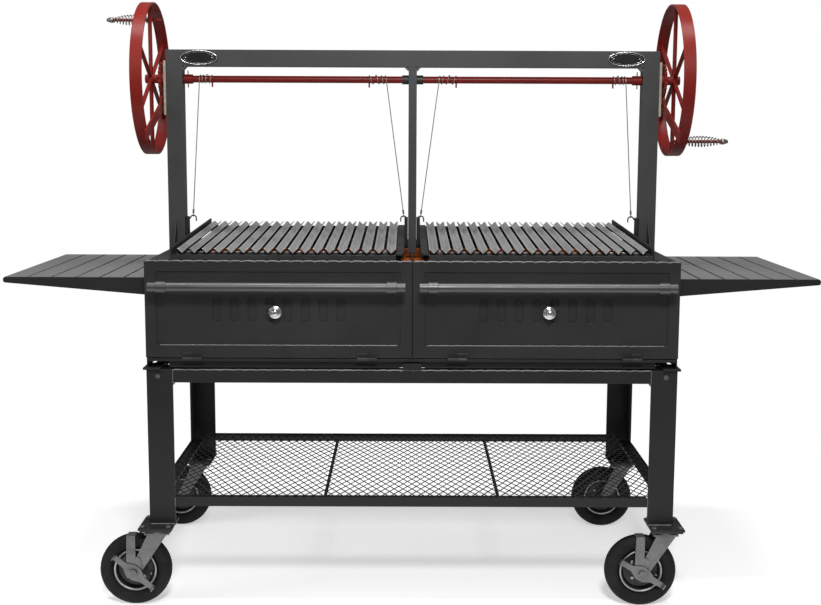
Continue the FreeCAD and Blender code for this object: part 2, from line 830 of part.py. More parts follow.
def pawls():
    """A bar with a nose behind its pivot; the bar's weight holds the nose up to the teeth."""
    pivot = point(ratchet_x, shaft_y + pawl_pivot_y, shaft_z + pawl_pivot_z)
    tip = point(ratchet_x, shaft_y + pawl_tip_y, shaft_z + pawl_tip_z)
    way = tip.sub(pivot).normalize()
    side = point(0, -way.z, way.y) * (pawl_bar / 2)
    bar = prism([pivot + side, pivot - side, tip - side, tip + side], X * pawl_thick)
    eye = rod(pivot, X, pawl_bar, pawl_thick)
    reach = ratchet_radius + pawl_clearance
    nose_angle = math.radians(-33)
    nose = point(ratchet_x, shaft_y + reach * math.cos(nose_angle), shaft_z + reach * math.sin(nose_angle))
    claw = prism([pivot + point(0, -6, 4), pivot + point(0, pawl_bar / 2, 4),
                  nose + point(0, 9, 0), nose], X * pawl_thick)
    lever = bar.fuse(eye).fuse(claw).removeSplitter()
    lever = lever.cut(rod(pivot - X, X, pawl_bolt + 2 * bearing_play, pawl_thick + 2))
    save_pair("pawl_lever", [lever])


# ---- grates -------------------------------------------------------------------------------

def bar_low(y):
    return bar_low_front + (bar_low_back - bar_low_front) * (y - bar_front) / (bar_back - bar_front)


def v_bars():
    way = point(0, bar_back - bar_front, bar_low_back - bar_low_front)
    deep = bar_leg / math.sqrt(2)
    notch = bar_plate * math.sqrt(2)
    pieces = []
    for index in range(bar_count):
        x = bar_first + bar_pitch * index
        profile = [(-deep, deep), (0, 0), (deep, deep), (deep - notch, deep), (0, notch), (-deep + notch, deep)]
        corners = [point(x + a, bar_front, bar_low_front + b) for a, b in profile]
        pieces.append(prism(corners, way))
    return pieces


def slab_along(x0, x1, y0, y1, drop, height):
    """A plate that follows the bars' slope, drop below their lower edge."""
    corners = [point(x0, y0, bar_low(y0) - drop), point(x0, y1, bar_low(y1) - drop),
               point(x0, y1, bar_low(y1) - drop + height), point(x0, y0, bar_low(y0) - drop + height)]
    return prism(corners, X * (x1 - x0))


def grates():
    save_pair("v_bars", v_bars())
    x0 = grate_inner + side_plate
    x1 = grate_outer - side_plate
    inner = slab_along(grate_inner, x0, tray_back, bar_back, side_plate_drop, inner_plate_height)
    outer = slab_along(x1, grate_outer, tray_front, bar_back, side_plate_drop, outer_plate_height)
    strip = slab_along(x0, x0 + strip_width, strip_front, bar_back, strip_drop, side_plate)
    frame = [inner, outer, strip]
    rear = bar_back - 3 * cross_bar
    for y in (tray_back, post_front, rear):
        low = rear_plate_low if y == rear else bar_low(y) - cross_bar_height
        frame.append(block(x0, x1, y, y + cross_bar, low, bar_low(y)).cut(strip))
    save_pair("grate_frame", frame)
    tray_grates()
    carriages()


def tray_grates():
    """The drip tray under the bars' front ends, a shallow channel with closed ends."""
    x0 = grate_inner + side_plate + strip_width + 1
    x1 = grate_outer - side_plate
    wall = tray_sheet
    tray = block(x0, x1, tray_front, tray_back, tray_low, tray_high)
    hollow = block(x0 + wall, x1 - wall, tray_front + wall, tray_back - wall, tray_low + wall, tray_high)
    save_pair("drip_tray", [tray.cut(hollow)])


def carriages():
    """Uprights that run along the posts, with the hooks that the cables hold."""
    pieces = []
    inner_x = grate_inner - upright_thick
    pieces.append(block(inner_x, grate_inner, upright_front, upright_back, upright_low, upright_top))
    outer_end = outer_upright_x + outer_upright_thick
    outer = block(outer_upright_x, outer_end, upright_front, upright_back, upright_low, upright_top)
    foot = block(grate_outer, outer_upright_x, upright_front, upright_back, upright_low,
                 upright_low + foot_height)
    pieces.append(outer.fuse(foot).removeSplitter())
    middle = (upright_front + upright_back) / 2
    for hook_x, side in ((-cable_drops[0][1], 1), (-cable_drops[1][1], -1)):
        centre = point(hook_x, middle, hook_z - hook_radius)
        ring = Part.makeTorus(hook_radius, hook_rod / 2, centre, Y, 0, 360, 360)
        upper = block(hook_x - 2 * hook_radius, hook_x + 2 * hook_radius, middle - hook_rod,
                      middle + hook_rod, centre.z, hook_z + hook_rod)
        arch = ring.common(upper).Solids[0]
        free = rod(point(hook_x + side * hook_radius, middle, centre.z), Z * -1, hook_rod, hook_radius)
        hook = arch.fuse(free)
        if side < 0:
            arm_start = hook_x + hook_radius
            arm = rod(point(arm_start, middle, centre.z), X, hook_rod, outer_upright_x - arm_start)
            hook = hook.fuse(arm)
        hook = hook.removeSplitter()
        for upright in pieces[:2]:
            hook = hook.cut(upright)
        pieces.extend(hook.Solids)
    save_pair("carriage", pieces)


def cables():
    """Straight steel cables from the front of each drum to the hooks below."""
    front_y = shaft_y - shaft_r - cable_diameter / 2 - 0.3
    hook_y = (upright_front + upright_back) / 2
    pieces = []
    for top_x, hook_x, _ in cable_drops:
        top = point(-top_x, front_y, shaft_z)
        low = point(-hook_x, hook_y, hook_z + hook_rod / 2 + 1.5)
        pieces.append(between(top, low, cable_diameter))
    save_pair("lift_cables", pieces)


# ---- casters ------------------------------------------------------------------------------

def caster_centres():
    """Name, kingpin x and y of each caster; every wheel trails towards -X."""
    front = caster_plate_y / 2 - caster_overhang
    back = box_depth - front
    return [("front_left", -caster_x, front), ("front_right", caster_x, front),
            ("rear_left", -caster_x, back), ("rear_right", caster_x, back)]


def caster_plates():
    pieces = []
    for _, x, y in caster_centres():
        plate = block(x - caster_plate_x / 2 + caster_inset, x + caster_plate_x / 2 - caster_inset,
                      y - caster_plate_y / 2 + caster_inset, y + caster_plate_y / 2 - caster_inset,
                      plate_low, plate_low + caster_plate_thick)
        hole = rod(point(x, y, plate_low - 1), Z, kingpin + 2 * bearing_play, caster_plate_thick + 2)
        pieces.append(plate.cut(hole))
    save("caster_plates", pieces)


def caster_fork(name, x, y, braked):
    race_top = plate_low - race_gap
    race_low = race_top - race_height
    race = rod(point(x, y, race_low), Z, race_diameter, race_height)
    pin = rod(point(x, y, race_top), Z, kingpin, race_gap + caster_plate_thick - 1)
    arm = tyre_width / 2 + fork_gap
    bridge = block(x - race_diameter / 2, x + race_diameter / 2, y - arm - fork_plate, y + arm + fork_plate,
                   race_low - fork_plate, race_low)
    wheel_x_at = x - caster_trail
    top_z = race_low - fork_plate
    reach = race_diameter / 2
    profile = [(wheel_x_at - 15, wheel_centre - 4), (wheel_x_at, wheel_centre - 17),
               (wheel_x_at + 16, wheel_centre - 8), (x + reach - 8, top_z), (x - reach + 8, top_z)]
    pieces = [race.fuse(pin).fuse(bridge).removeSplitter()]
    for side in (-1, 1):
        start = y + side * arm if side > 0 else y - arm - fork_plate
        plate = prism([point(a, start, b) for a, b in profile], Y * fork_plate)
        plate = plate.cut(rod(point(wheel_x_at, start - 1, wheel_centre), Y, axle_diameter, fork_plate + 2))
        pieces.append(plate)
    strap_y = y - arm - fork_plate - pedal_plate
    if braked:
        pieces.append(brake_strap(wheel_x_at, strap_y, y))
    outer_stack = 2 * pedal_plate + 1 if braked else 0
    axle_front = y - arm - fork_plate - outer_stack
    axle = rod(point(wheel_x_at, axle_front, wheel_centre), Y, axle_diameter,
               2 * (arm + fork_plate) + outer_stack)
    head = hexagon(point(wheel_x_at, axle_front, wheel_centre), Y * -1, 19, bolt_height)
    nut = hexagon(point(wheel_x_at, y + arm + fork_plate, wheel_centre), Y, 19, bolt_height)
    pieces += [axle.fuse(head).fuse(nut).removeSplitter()]
    save("caster_fork_" + name, pieces)


def brake_strap(x, front, wheel_y):
    """An upright strap beside the fork whose top is bent back over the tyre."""
    left = x - strap_width + 6
    right = left + strap_width
    low = wheel_centre + axle_diameter
    lug_top = wheel_centre + 3 * strap_lug
    bend = 2 * wheel_centre + 1.5
    outline = [(left - 3, low), (right + strap_lug, low), (right + strap_lug, lug_top - 8),
               (right + strap_lug - 8, lug_top), (right, lug_top), (right, bend + pedal_plate),
               (left, bend + pedal_plate)]
    strap = prism([point(a, front, b) for a, b in outline], Y * pedal_plate)
    shoe = block(left, right, front, wheel_y, bend, bend + pedal_plate)
    return strap.fuse(shoe).removeSplitter()


def brake_pedal(name, x, y):
    """A double-ended foot lever that turns on the axle outside the fork."""
    wheel_x_at = x - caster_trail
    front = y - tyre_width / 2 - fork_gap - fork_plate - 2 * pedal_plate - 0.5
    reach = pedal_length / 2
    wide = pedal_width / 2
    waist = pedal_end / 2
    outline = [(-reach, -waist), (-wide * 1.6, -waist - 1), (-wide / 2, -wide), (wide / 2, -wide),
               (wide * 1.6, -waist - 2), (reach, -waist), (reach, waist), (wide * 1.6, waist + 2),
               (wide / 2, wide), (-wide / 2, wide), (-wide * 1.6, waist + 1), (-reach, waist)]
    lever = prism([point(wheel_x_at + a, front, wheel_centre + b) for a, b in outline], Y * pedal_plate)
    for end in (-1, 1):
        edge = wheel_x_at + end * reach
        toe = block(min(edge, edge - end * pedal_plate), max(edge, edge - end * pedal_plate), front - 12,
                    front, wheel_centre - waist, wheel_centre + waist)
        lever = lever.fuse(toe)
    hole = rod(point(wheel_x_at, front - 1, wheel_centre), Y, axle_diameter + 2 * bearing_play,
               pedal_plate + 2)
    lever = lever.removeSplitter().cut(hole)
    lever.rotate(point(wheel_x_at, 0, wheel_centre), Y, -pedal_tilts[name])
    save("brake_pedal_" + name, [lever])


def ring_of(outline, x, y):
    """A solid of revolution about a wheel's axle, from its section's radius and offset."""
    corners = [point(x, y + offset, wheel_centre + radius) for radius, offset in outline]
    face = Part.Face(Part.makePolygon(corners + [corners[0]]))
    return face.revolve(point(x, y, wheel_centre), Y, 360)


def caster_wheel(name, x, y):
    wheel_x_at = x - caster_trail
    wide = tyre_width / 2
    shoulder = wide * 0.93
    tyre = ring_of([(rim_radius, -wide * 0.62), (rim_radius + 8, -wide * 0.8), (wheel_centre * 0.78, -wide),
                    (wheel_centre * 0.9, -shoulder), (wheel_centre * 0.97, -wide * 0.72),
                    (wheel_centre, -wide * 0.4), (wheel_centre, wide * 0.4), (wheel_centre * 0.97, wide * 0.72),
                    (wheel_centre * 0.9, shoulder), (wheel_centre * 0.78, wide),
                    (rim_radius + 8, wide * 0.8), (rim_radius, wide * 0.62)], wheel_x_at, y)
    bore = axle_diameter / 2 + bearing_play
    hub = 20.0
    seat = wide * 0.62
    rim = ring_of([(bore, -wide - 2), (hub, -wide - 2), (hub, -6), (rim_radius - 12, -5),
                   (rim_radius - 6, -seat), (rim_radius, -seat), (rim_radius, seat),
                   (rim_radius - 6, seat), (rim_radius - 12, 5), (hub, 6), (hub, wide + 2), (bore, wide + 2)],
                  wheel_x_at, y)
    save("tyre_" + name, [tyre])
    save("wheel_rim_" + name, [rim])


def casters():
    caster_plates()
    for name, x, y in caster_centres():
        braked = name.startswith("front")
        caster_fork(name, x, y, braked)
        caster_wheel(name, x, y)
        if braked:
            brake_pedal(name, x, y)


# ---- fasteners ----------------------------------------------------------------------------

def fasteners():
    heads = []
    for _, x, y in caster_centres():
        for dx in (-1, 1):
            for dy in (-1, 1):
                at = point(x + dx * (caster_plate_x / 2 - 12), y + dy * (caster_plate_y / 2 - 13), leg_bottom)
                heads.append(hexagon(at, Z, bolt_across, bolt_height))
    leg_bolt_z = cart_top - rail_height / 2
    leg_bolt_x = half - leg_size / 2 + 4
    for x in (-leg_bolt_x, leg_bolt_x):
        heads.append(hexagon(point(x, 0, leg_bolt_z), Y * -1, bolt_across, bolt_height - 1))
        heads.append(hexagon(point(x, box_depth, leg_bolt_z), Y, bolt_across, bolt_height - 1))
    for side in (-1, 1):
        heads.append(hexagon(point(side * (half - 12), post_front - 15, rim_top), Z, bolt_across, bolt_height))
        for z in post_screw_heights:
            heads.append(hexagon(point(side * half, shaft_y, z), X * side, 10, 4))
    save("fasteners", heads)


# ---- build --------------------------------------------------------------------------------

cart_legs()
save("cart_rails", angle_frame(rail_low, cart_top, rail_plate, 0))
shelf_frame()
shelf_mesh()
frame_brackets()
firebox_shell()
fire_bricks()
door_frame()
door_panel()
door_handles()
frame_hinges()
damper_plates()
damper_knobs()
side_shelves()
upper_frame()
badges()
winch_plates()
centre_bushes()
winches()
pawls()
grates()
cables()
casters()
fasteners()
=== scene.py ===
import json
import math

import bpy
from mathutils import Matrix, Vector, noise


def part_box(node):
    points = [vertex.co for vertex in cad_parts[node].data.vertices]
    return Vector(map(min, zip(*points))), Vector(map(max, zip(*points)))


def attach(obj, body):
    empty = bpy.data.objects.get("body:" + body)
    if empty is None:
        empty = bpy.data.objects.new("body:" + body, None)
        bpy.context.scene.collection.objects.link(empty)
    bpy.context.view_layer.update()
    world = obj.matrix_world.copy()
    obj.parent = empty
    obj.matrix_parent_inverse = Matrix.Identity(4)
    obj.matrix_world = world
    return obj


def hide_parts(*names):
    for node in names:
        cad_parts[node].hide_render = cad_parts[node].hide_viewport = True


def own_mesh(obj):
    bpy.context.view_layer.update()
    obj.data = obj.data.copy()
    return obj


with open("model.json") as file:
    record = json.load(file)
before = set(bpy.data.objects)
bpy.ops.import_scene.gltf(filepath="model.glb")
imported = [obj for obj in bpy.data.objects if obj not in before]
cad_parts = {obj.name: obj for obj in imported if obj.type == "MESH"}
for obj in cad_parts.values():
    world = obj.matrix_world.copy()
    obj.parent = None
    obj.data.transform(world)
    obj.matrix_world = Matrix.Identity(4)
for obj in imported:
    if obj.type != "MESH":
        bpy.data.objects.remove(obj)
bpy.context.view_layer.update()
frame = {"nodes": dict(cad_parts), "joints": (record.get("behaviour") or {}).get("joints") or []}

SIDES = ("left", "right")
WHEELS = ("front_left", "front_right", "rear_left", "rear_right")
JOINTS = {joint["name"]: joint for joint in frame["joints"]}
UP = Vector((0, 0, 1))


# ---- camera and studio --------------------------------------------------------------------

def make_camera():
    """A long view from in front and a little above the firebox."""
    pitch = 0.1352
    yaw = 0.0028
    roll = 0.0038
    place = Vector((-0.0155, -3.9684, 1.384))
    focal_share = 1271.8 / 821
    forward = Vector((math.sin(yaw) * math.cos(pitch), math.cos(yaw) * math.cos(pitch), -math.sin(pitch)))
    level = Vector((math.cos(yaw), -math.sin(yaw), 0))
    above = level.cross(forward)
    right = level * math.cos(roll) + above * math.sin(roll)
    up = above * math.cos(roll) - level * math.sin(roll)
    turn = Matrix((right, up, -forward)).transposed().to_4x4()
    data = bpy.data.cameras.new("camera")
    data.sensor_width = 36
    data.lens = 36 * focal_share
    data.clip_end = 100
    camera = bpy.data.objects.new("camera", data)
    camera.matrix_world = Matrix.Translation(place) @ turn
    bpy.context.scene.collection.objects.link(camera)
    bpy.context.scene.camera = camera


def area_light(name, place, aim, size, power):
    data = bpy.data.lights.new(name, "AREA")
    data.shape = "RECTANGLE"
    data.size, data.size_y = size
    data.energy = power
    light = bpy.data.objects.new(name, data)
    light.location = place
    light.rotation_euler = (Vector(aim) - Vector(place)).to_track_quat("-Z", "Y").to_euler()
    bpy.context.scene.collection.objects.link(light)


def make_studio():
    """A white room to the camera, dimmer as a light, with one lamp high in front."""
    fill = 0.24
    world = bpy.data.worlds.new("studio")
    world.use_nodes = True
    tree = world.node_tree
    sky = tree.nodes["Background"]
    sky.inputs["Color"].default_value = (1, 1, 1, 1)
    path = tree.nodes.new("ShaderNodeLightPath")
    level = tree.nodes.new("ShaderNodeMath")
    level.operation = "MULTIPLY_ADD"
    level.inputs[1].default_value = 1 - fill
    level.inputs[2].default_value = fill
    tree.links.new(path.outputs["Is Camera Ray"], level.inputs[0])
    tree.links.new(level.outputs["Value"], sky.inputs["Strength"])
    bpy.context.scene.world = world
    bpy.context.scene.view_settings.view_transform = "Standard"
    area_light("key", (0.2, -4.3, 3.7), (0, 0, 0.95), (0.8, 0.7), 170)
    area_light("overhead", (0.0, -0.7, 4.2), (0, 0.0, 1.0), (3.0, 0.6), 130)
    area_light("left", (-4.2, -1.6, 2.4), (0, 0, 1.1), (1.6, 1.6), 30)
    make_floor()


def make_floor():
    """A pale round floor that fades into the white around it."""
    fade_start = 1.2
    fade_end = 2.6
    material = bpy.data.materials.new("studio_floor")
    material.use_nodes = True
    tree = material.node_tree
    shader = tree.nodes["Principled BSDF"]
    shader.inputs["Base Color"].default_value = (0.9, 0.9, 0.9, 1)
    shader.inputs["Roughness"].default_value = 0.9
    shader.inputs["Emission Color"].default_value = (1, 1, 1, 1)
    shader.inputs["Emission Strength"].default_value = 0.45
    place = tree.nodes.new("ShaderNodeTexCoord")
    length = tree.nodes.new("ShaderNodeVectorMath")
    length.operation = "LENGTH"
    tree.links.new(place.outputs["Object"], length.inputs[0])
    fade = tree.nodes.new("ShaderNodeMapRange")
    fade.interpolation_type = "SMOOTHSTEP"
    fade.inputs["From Min"].default_value = fade_start
    fade.inputs["From Max"].default_value = fade_end
    tree.links.new(length.outputs["Value"], fade.inputs["Value"])
    clear = tree.nodes.new("ShaderNodeBsdfTransparent")
    mixer = tree.nodes.new("ShaderNodeMixShader")
    tree.links.new(fade.outputs["Result"], mixer.inputs["Fac"])
    tree.links.new(shader.outputs["BSDF"], mixer.inputs[1])
    tree.links.new(clear.outputs["BSDF"], mixer.inputs[2])
    tree.links.new(mixer.outputs["Shader"], tree.nodes["Material Output"].inputs["Surface"])
    sides = 96
    radius = fade_end + 0.1
    turns = [2 * math.pi * step / sides for step in range(sides)]
    rim = [(radius * math.cos(turn), radius * math.sin(turn), 0) for turn in turns]
    mesh = bpy.data.meshes.new("studio_floor")
    mesh.from_pydata(rim, [], [tuple(range(sides))])
    floor = bpy.data.objects.new("studio_floor", mesh)
    floor.data.materials.append(material)
    bpy.context.scene.collection.objects.link(floor)


# ---- materials ----------------------------------------------------------------------------

class Finish:
    """A material under construction: a few named steps over one node tree."""

    def __init__(self, name, roughness, metallic=0.0):
        self.material = bpy.data.materials.new(name)
        self.material.use_nodes = True
        self.tree = self.material.node_tree
        self.shader = self.tree.nodes["Principled BSDF"]
        self.shader.inputs["Roughness"].default_value = roughness
        self.shader.inputs["Metallic"].default_value = metallic
        self.place = self.tree.nodes.new("ShaderNodeTexCoord").outputs["Object"]
        self.normal = None

    def node(self, kind, **values):
        made = self.tree.nodes.new(kind)
        for key, value in values.items():
            made.inputs[key.replace("_", " ")].default_value = value
        return made

    def link(self, start, end):
        self.tree.links.new(start, end)

    def noise(self, scale, detail=3.0, stretch=None):
        texture = self.node("ShaderNodeTexNoise", Scale=scale, Detail=detail)
        where = self.place
        if stretch:
            mapping = self.node("ShaderNodeMapping", Scale=stretch)
            self.link(where, mapping.inputs["Vector"])
            where = mapping.outputs["Vector"]
        self.link(where, texture.inputs["Vector"])
        return texture.outputs["Fac"]

    def ramp(self, factor, stops):
        """stops is a list of (position, colour or grey)."""
        ramp = self.node("ShaderNodeValToRGB")
        while len(ramp.color_ramp.elements) < len(stops):
            ramp.color_ramp.elements.new(0.5)
        for element, (position, value) in zip(ramp.color_ramp.elements, stops):
            element.position = position
            element.color = (value, value, value, 1) if isinstance(value, float) else (*value, 1)
        self.link(factor, ramp.inputs["Fac"])
        return ramp.outputs["Color"]

    def mix(self, factor, first, second):
        """A colour mix; first is a socket, second a socket or a colour."""
        mixer = self.tree.nodes.new("ShaderNodeMix")
        mixer.data_type = "RGBA"
        self.link(factor, mixer.inputs["Factor"])
        self.link(first, mixer.inputs[6])
        if isinstance(second, tuple):
            mixer.inputs[7].default_value = (*second, 1)
        else:
            self.link(second, mixer.inputs[7])
        return mixer.outputs[2]

    def colour(self, socket):
        self.link(socket, self.shader.inputs["Base Color"])

    def rough(self, socket):
        self.link(socket, self.shader.inputs["Roughness"])

    def soft_edges(self, radius):
        """Rounded edges, and a mask that is bright on them for wear."""
        bevel = self.tree.nodes.new("ShaderNodeBevel")
        bevel.samples = 4
        bevel.inputs["Radius"].default_value = radius
        self.normal = bevel.outputs["Normal"]
        geometry = self.tree.nodes.new("ShaderNodeNewGeometry")
        dot = self.tree.nodes.new("ShaderNodeVectorMath")
        dot.operation = "DOT_PRODUCT"
        self.link(bevel.outputs["Normal"], dot.inputs[0])
        self.link(geometry.outputs["True Normal"], dot.inputs[1])
        return self.ramp(dot.outputs["Value"], [(0.84, 1.0), (0.985, 0.0)])

    def bump(self, height, strength, distance):
        bump = self.node("ShaderNodeBump", Strength=strength, Distance=distance)
        self.link(height, bump.inputs["Height"])
        if self.normal:
            self.link(self.normal, bump.inputs["Normal"])
        self.normal = bump.outputs["Normal"]

    def done(self):
        if self.normal:
            self.link(self.normal, self.shader.inputs["Normal"])
        return self.material


def shade(colour, factor):
    return tuple(channel * factor for channel in colour)


def powder_coat(name, colour, roughness, edge=1.7, dust=0.25, grain=0.12, shine=0.4):
    """Baked powder paint: fine orange peel, faint dust and slightly brighter edges."""
    finish = Finish(name, roughness)
    finish.shader.inputs["Specular IOR Level"].default_value = shine
    worn = finish.soft_edges(0.0016)
    broad = finish.ramp(finish.noise(2.2, 4), [(0.3, shade(colour, 0.84)), (0.7, shade(colour, 1.16))])
    speck = finish.ramp(finish.noise(420, 2), [(0.45, 0.0), (0.75, dust)])
    base = finish.mix(speck, broad, shade(colour, 1.6))
    patchy = finish.ramp(finish.noise(60, 4), [(0.35, 0.3), (0.65, 1.0)])
    edges = finish.mix(worn, finish.ramp(worn, [(0.0, 0.0), (1.0, 0.0)]), patchy)
    finish.colour(finish.mix(edges, base, shade(colour, edge)))
    low = max(roughness - 0.07, 0.05)
    finish.rough(finish.ramp(finish.noise(9, 5), [(0.3, low), (0.7, roughness + 0.07)]))
    finish.bump(finish.noise(900, 2), grain, 0.0004)
    finish.bump(finish.noise(70, 3), grain * 0.6, 0.0008)
    return finish.done()


def bare_steel(name, colour, roughness, stretch, contrast, stain, metallic=0.85, fine=40, edge=1.35):
    """Drawn or plated steel with streaks along the piece and a few darker stains."""
    finish = Finish(name, roughness, metallic)
    worn = finish.soft_edges(0.0009)
    streak = finish.noise(fine, 5, stretch)
    base = finish.ramp(streak, [(0.25, shade(colour, 1 - contrast)), (0.75, shade(colour, 1 + contrast))])
    blot = finish.ramp(finish.noise(4.5, 6), [(0.46, 0.0), (0.74, 0.6)])
    base = finish.mix(blot, base, stain)
    finish.colour(finish.mix(worn, base, shade(colour, edge)))
    low = max(roughness - 0.1, 0.05)
    finish.rough(finish.ramp(finish.noise(30, 4), [(0.3, low), (0.7, roughness + 0.1)]))
    finish.bump(streak, 0.12, 0.0006)
    finish.bump(finish.noise(500, 2), 0.08, 0.0003)
    return finish.done()


def zinc(name, colour, roughness):
    """Zinc plating: cloudy spangle, a dull shine and grime in patches."""
    finish = Finish(name, roughness, 0.8)
    worn = finish.soft_edges(0.001)
    cell = finish.node("ShaderNodeTexVoronoi", Scale=160.0)
    finish.link(finish.place, cell.inputs["Vector"])
    spangle = finish.ramp(cell.outputs["Distance"], [(0.1, shade(colour, 0.88)), (0.7, shade(colour, 1.1))])
    grime = finish.ramp(finish.noise(25, 5), [(0.48, 0.0), (0.72, 0.55)])
    base = finish.mix(grime, spangle, shade(colour, 0.45))
    finish.colour(finish.mix(worn, base, shade(colour, 1.25)))
    finish.rough(finish.ramp(finish.noise(45, 3), [(0.3, roughness - 0.08), (0.7, roughness + 0.12)]))
    finish.bump(finish.noise(350, 3), 0.1, 0.0004)
    return finish.done()


def fire_brick():
    finish = Finish("fire_brick", 0.92)
    finish.shader.inputs["Specular IOR Level"].default_value = 0.08
    broad = finish.ramp(finish.noise(9, 5), [(0.3, (0.2, 0.038, 0.0022)), (0.7, (0.33, 0.072, 0.005))])
    pits = finish.ramp(finish.noise(160, 4), [(0.35, 1.0), (0.5, 0.0)])
    soot = finish.ramp(finish.noise(5, 4), [(0.5, 0.0), (0.8, 0.45)])
    base = finish.mix(pits, broad, (0.06, 0.02, 0.006))
    finish.colour(finish.mix(soot, base, (0.035, 0.022, 0.014)))
    finish.bump(finish.noise(220, 5), 0.5, 0.0015)
    return finish.done()


def rubber():
    finish = Finish("tyre_rubber", 0.7)
    finish.shader.inputs["Specular IOR Level"].default_value = 0.22
    base = finish.ramp(finish.noise(25, 5), [(0.35, (0.004, 0.004, 0.0042)), (0.7, (0.009, 0.009, 0.009))])
    dusty = finish.ramp(finish.noise(140, 4), [(0.55, 0.0), (0.8, 0.3)])
    finish.colour(finish.mix(dusty, base, (0.018, 0.0175, 0.016)))
    finish.rough(finish.ramp(finish.noise(18, 3), [(0.3, 0.66), (0.7, 0.9)]))
    finish.bump(finish.noise(380, 3), 0.2, 0.0006)
    return finish.done()


def chrome(name, colour, roughness):
    finish = Finish(name, roughness, 1.0)
    cloud = finish.noise(35, 4)
    finish.colour(finish.ramp(cloud, [(0.3, shade(colour, 0.8)), (0.7, colour)]))
    finish.rough(finish.ramp(finish.noise(90, 4), [(0.3, roughness * 0.6), (0.75, roughness * 1.7)]))
    finish.bump(finish.noise(260, 2), 0.03, 0.0003)
    return finish.done()


def weld_metal(name, colour, metallic):
    """Painted or bare weld bead, mottled along its ripples."""
    finish = Finish(name, 0.42, metallic)
    base = finish.ramp(finish.noise(190, 4), [(0.3, shade(colour, 0.7)), (0.7, shade(colour, 1.35))])
    finish.colour(base)
    finish.bump(finish.noise(600, 3), 0.2, 0.0005)
    return finish.done()


def make_materials():
    black = (0.026, 0.026, 0.0265)
    red = (0.15, 0.0085, 0.0055)
    steel = (0.34, 0.34, 0.345)
    stain = (0.13, 0.122, 0.113)
    return {
        # frame and upper are one black paint: the upper coat is it lightened, painted light falling from
        # above; the frame coat is it darkened, painted shade lower down
        "frame": powder_coat("frame_coat_painted_shade", shade(black, 0.46), 0.48, edge=2.4, shine=0.22),
        "upper": powder_coat("upper_coat_painted_light", shade(black, 1.3), 0.44, shine=0.3),
        "door": powder_coat("door_coat", shade(black, 0.68), 0.42, edge=2.2, shine=0.24),
        "handle": powder_coat("handle_coat", shade(black, 0.8), 0.4, shine=0.75),
        "slat": powder_coat("slat_coat", (0.115, 0.115, 0.117), 0.3, dust=0.45, shine=0.9),
        "mesh": powder_coat("mesh_coat", shade(black, 0.5), 0.45, dust=0.1, shine=0.25),
        "red": powder_coat("red_paint", red, 0.38, edge=1.6, dust=0.05, grain=0.2, shine=0.2),
        "bars": bare_steel("bar_steel", steel, 0.4, (1, 0.02, 1), 0.16, stain, 0.6, fine=230, edge=2.0),
        "tray": bare_steel("tray_steel", (0.03, 0.03, 0.03), 0.4, (0.1, 1, 1), 0.3, (0.015, 0.012, 0.01),
                           0.3),
        "zinc": zinc("zinc_plate", (0.135, 0.135, 0.133), 0.4),
        "plate": zinc("bearing_zinc", (0.42, 0.38, 0.30), 0.45),
        "foot": powder_coat("foot_coat", shade(black, 0.55), 0.45, dust=0.15),
        # the rim's web steel is near black: painted shade for its deep recess, not the steel's own colour;
        # the lip keeps the rim's grey
        "rim": zinc("rim_steel_painted_shade", (0.03, 0.03, 0.031), 0.42),
        "rim_lip": zinc("rim_lip_steel", (0.3, 0.3, 0.3), 0.35),
        "brick": fire_brick(),
        "rubber": rubber(),
        "bush": powder_coat("bush_polymer", (0.016, 0.016, 0.017), 0.45, edge=1.3),
        "chrome": chrome("knob_chrome", (0.62, 0.62, 0.61), 0.2),
        "spring": chrome("spring_steel", (0.3, 0.29, 0.27), 0.32),
        "cable": bare_steel("cable_steel", (0.30, 0.29, 0.27), 0.4, (1, 1, 1), 0.35, (0.12, 0.10, 0.08)),
        "badge": powder_coat("badge_enamel", (0.006, 0.006, 0.006), 0.3, dust=0.05, shine=0.3),
        "badge_trim": chrome("badge_trim", (0.6, 0.6, 0.59), 0.25),
        "bead": weld_metal("bead_coat", shade(black, 3.0), 0.25),
        # the bright bead is a lighter copy of the weld colour: a painted highlight for the lit top edges of
        # the doors, the door recesses and the front rail
        "highlight_bead": weld_metal("highlight_bead_coat", shade(black, 5.0), 0.35),
    }


NODE_FINISH = {
    "frame": ("cart_legs", "cart_rails", "shelf_frame", "frame_brackets", "frame_hinges", "side_shelf_frames",
              "firebox_shell"),
    "upper": ("upper_frame",),
    "slat": ("side_shelf_slats",),
    "mesh": ("shelf_mesh",),
    "brick": ("fire_bricks",),
    "badge": ("badges",),
    "plate": ("winch_plates",),
    "bush": ("centre_bushes",),
    "foot": ("caster_plates",),
    "zinc": ("fasteners", "brake_pedal_front_left", "brake_pedal_front_right"),
}
SIDE_FINISH = {
    "red": ("winch_shaft", "ratchet_wheel", "flywheel", "pawl_lever"),
    "bars": ("v_bars",),
    "frame": ("grate_frame", "carriage"),
    "tray": ("drip_tray",),
    "door": ("door_frame", "door_panel", "damper_plate"),
    "handle": ("door_handle",),
}


def dress(node, material):
    """Gives a CAD node its finish, through its own material slots."""
    piece = frame["nodes"][node]
    if not piece.material_slots:
        piece.data.materials.append(material)
    for slot in piece.material_slots:
        slot.material = material


def dress_nodes(materials):
    for finish, nodes in NODE_FINISH.items():
        for node in nodes:
            dress(node, materials[finish])
    for finish, stems in SIDE_FINISH.items():
        for stem in stems:
            for side in SIDES:
                dress(stem + "_" + side, materials[finish])
    for wheel in WHEELS:
        dress("caster_fork_" + wheel, materials["zinc"])
        dress("wheel_rim_" + wheel, materials["rim"])


# ---- mesh helpers -------------------------------------------------------------------------

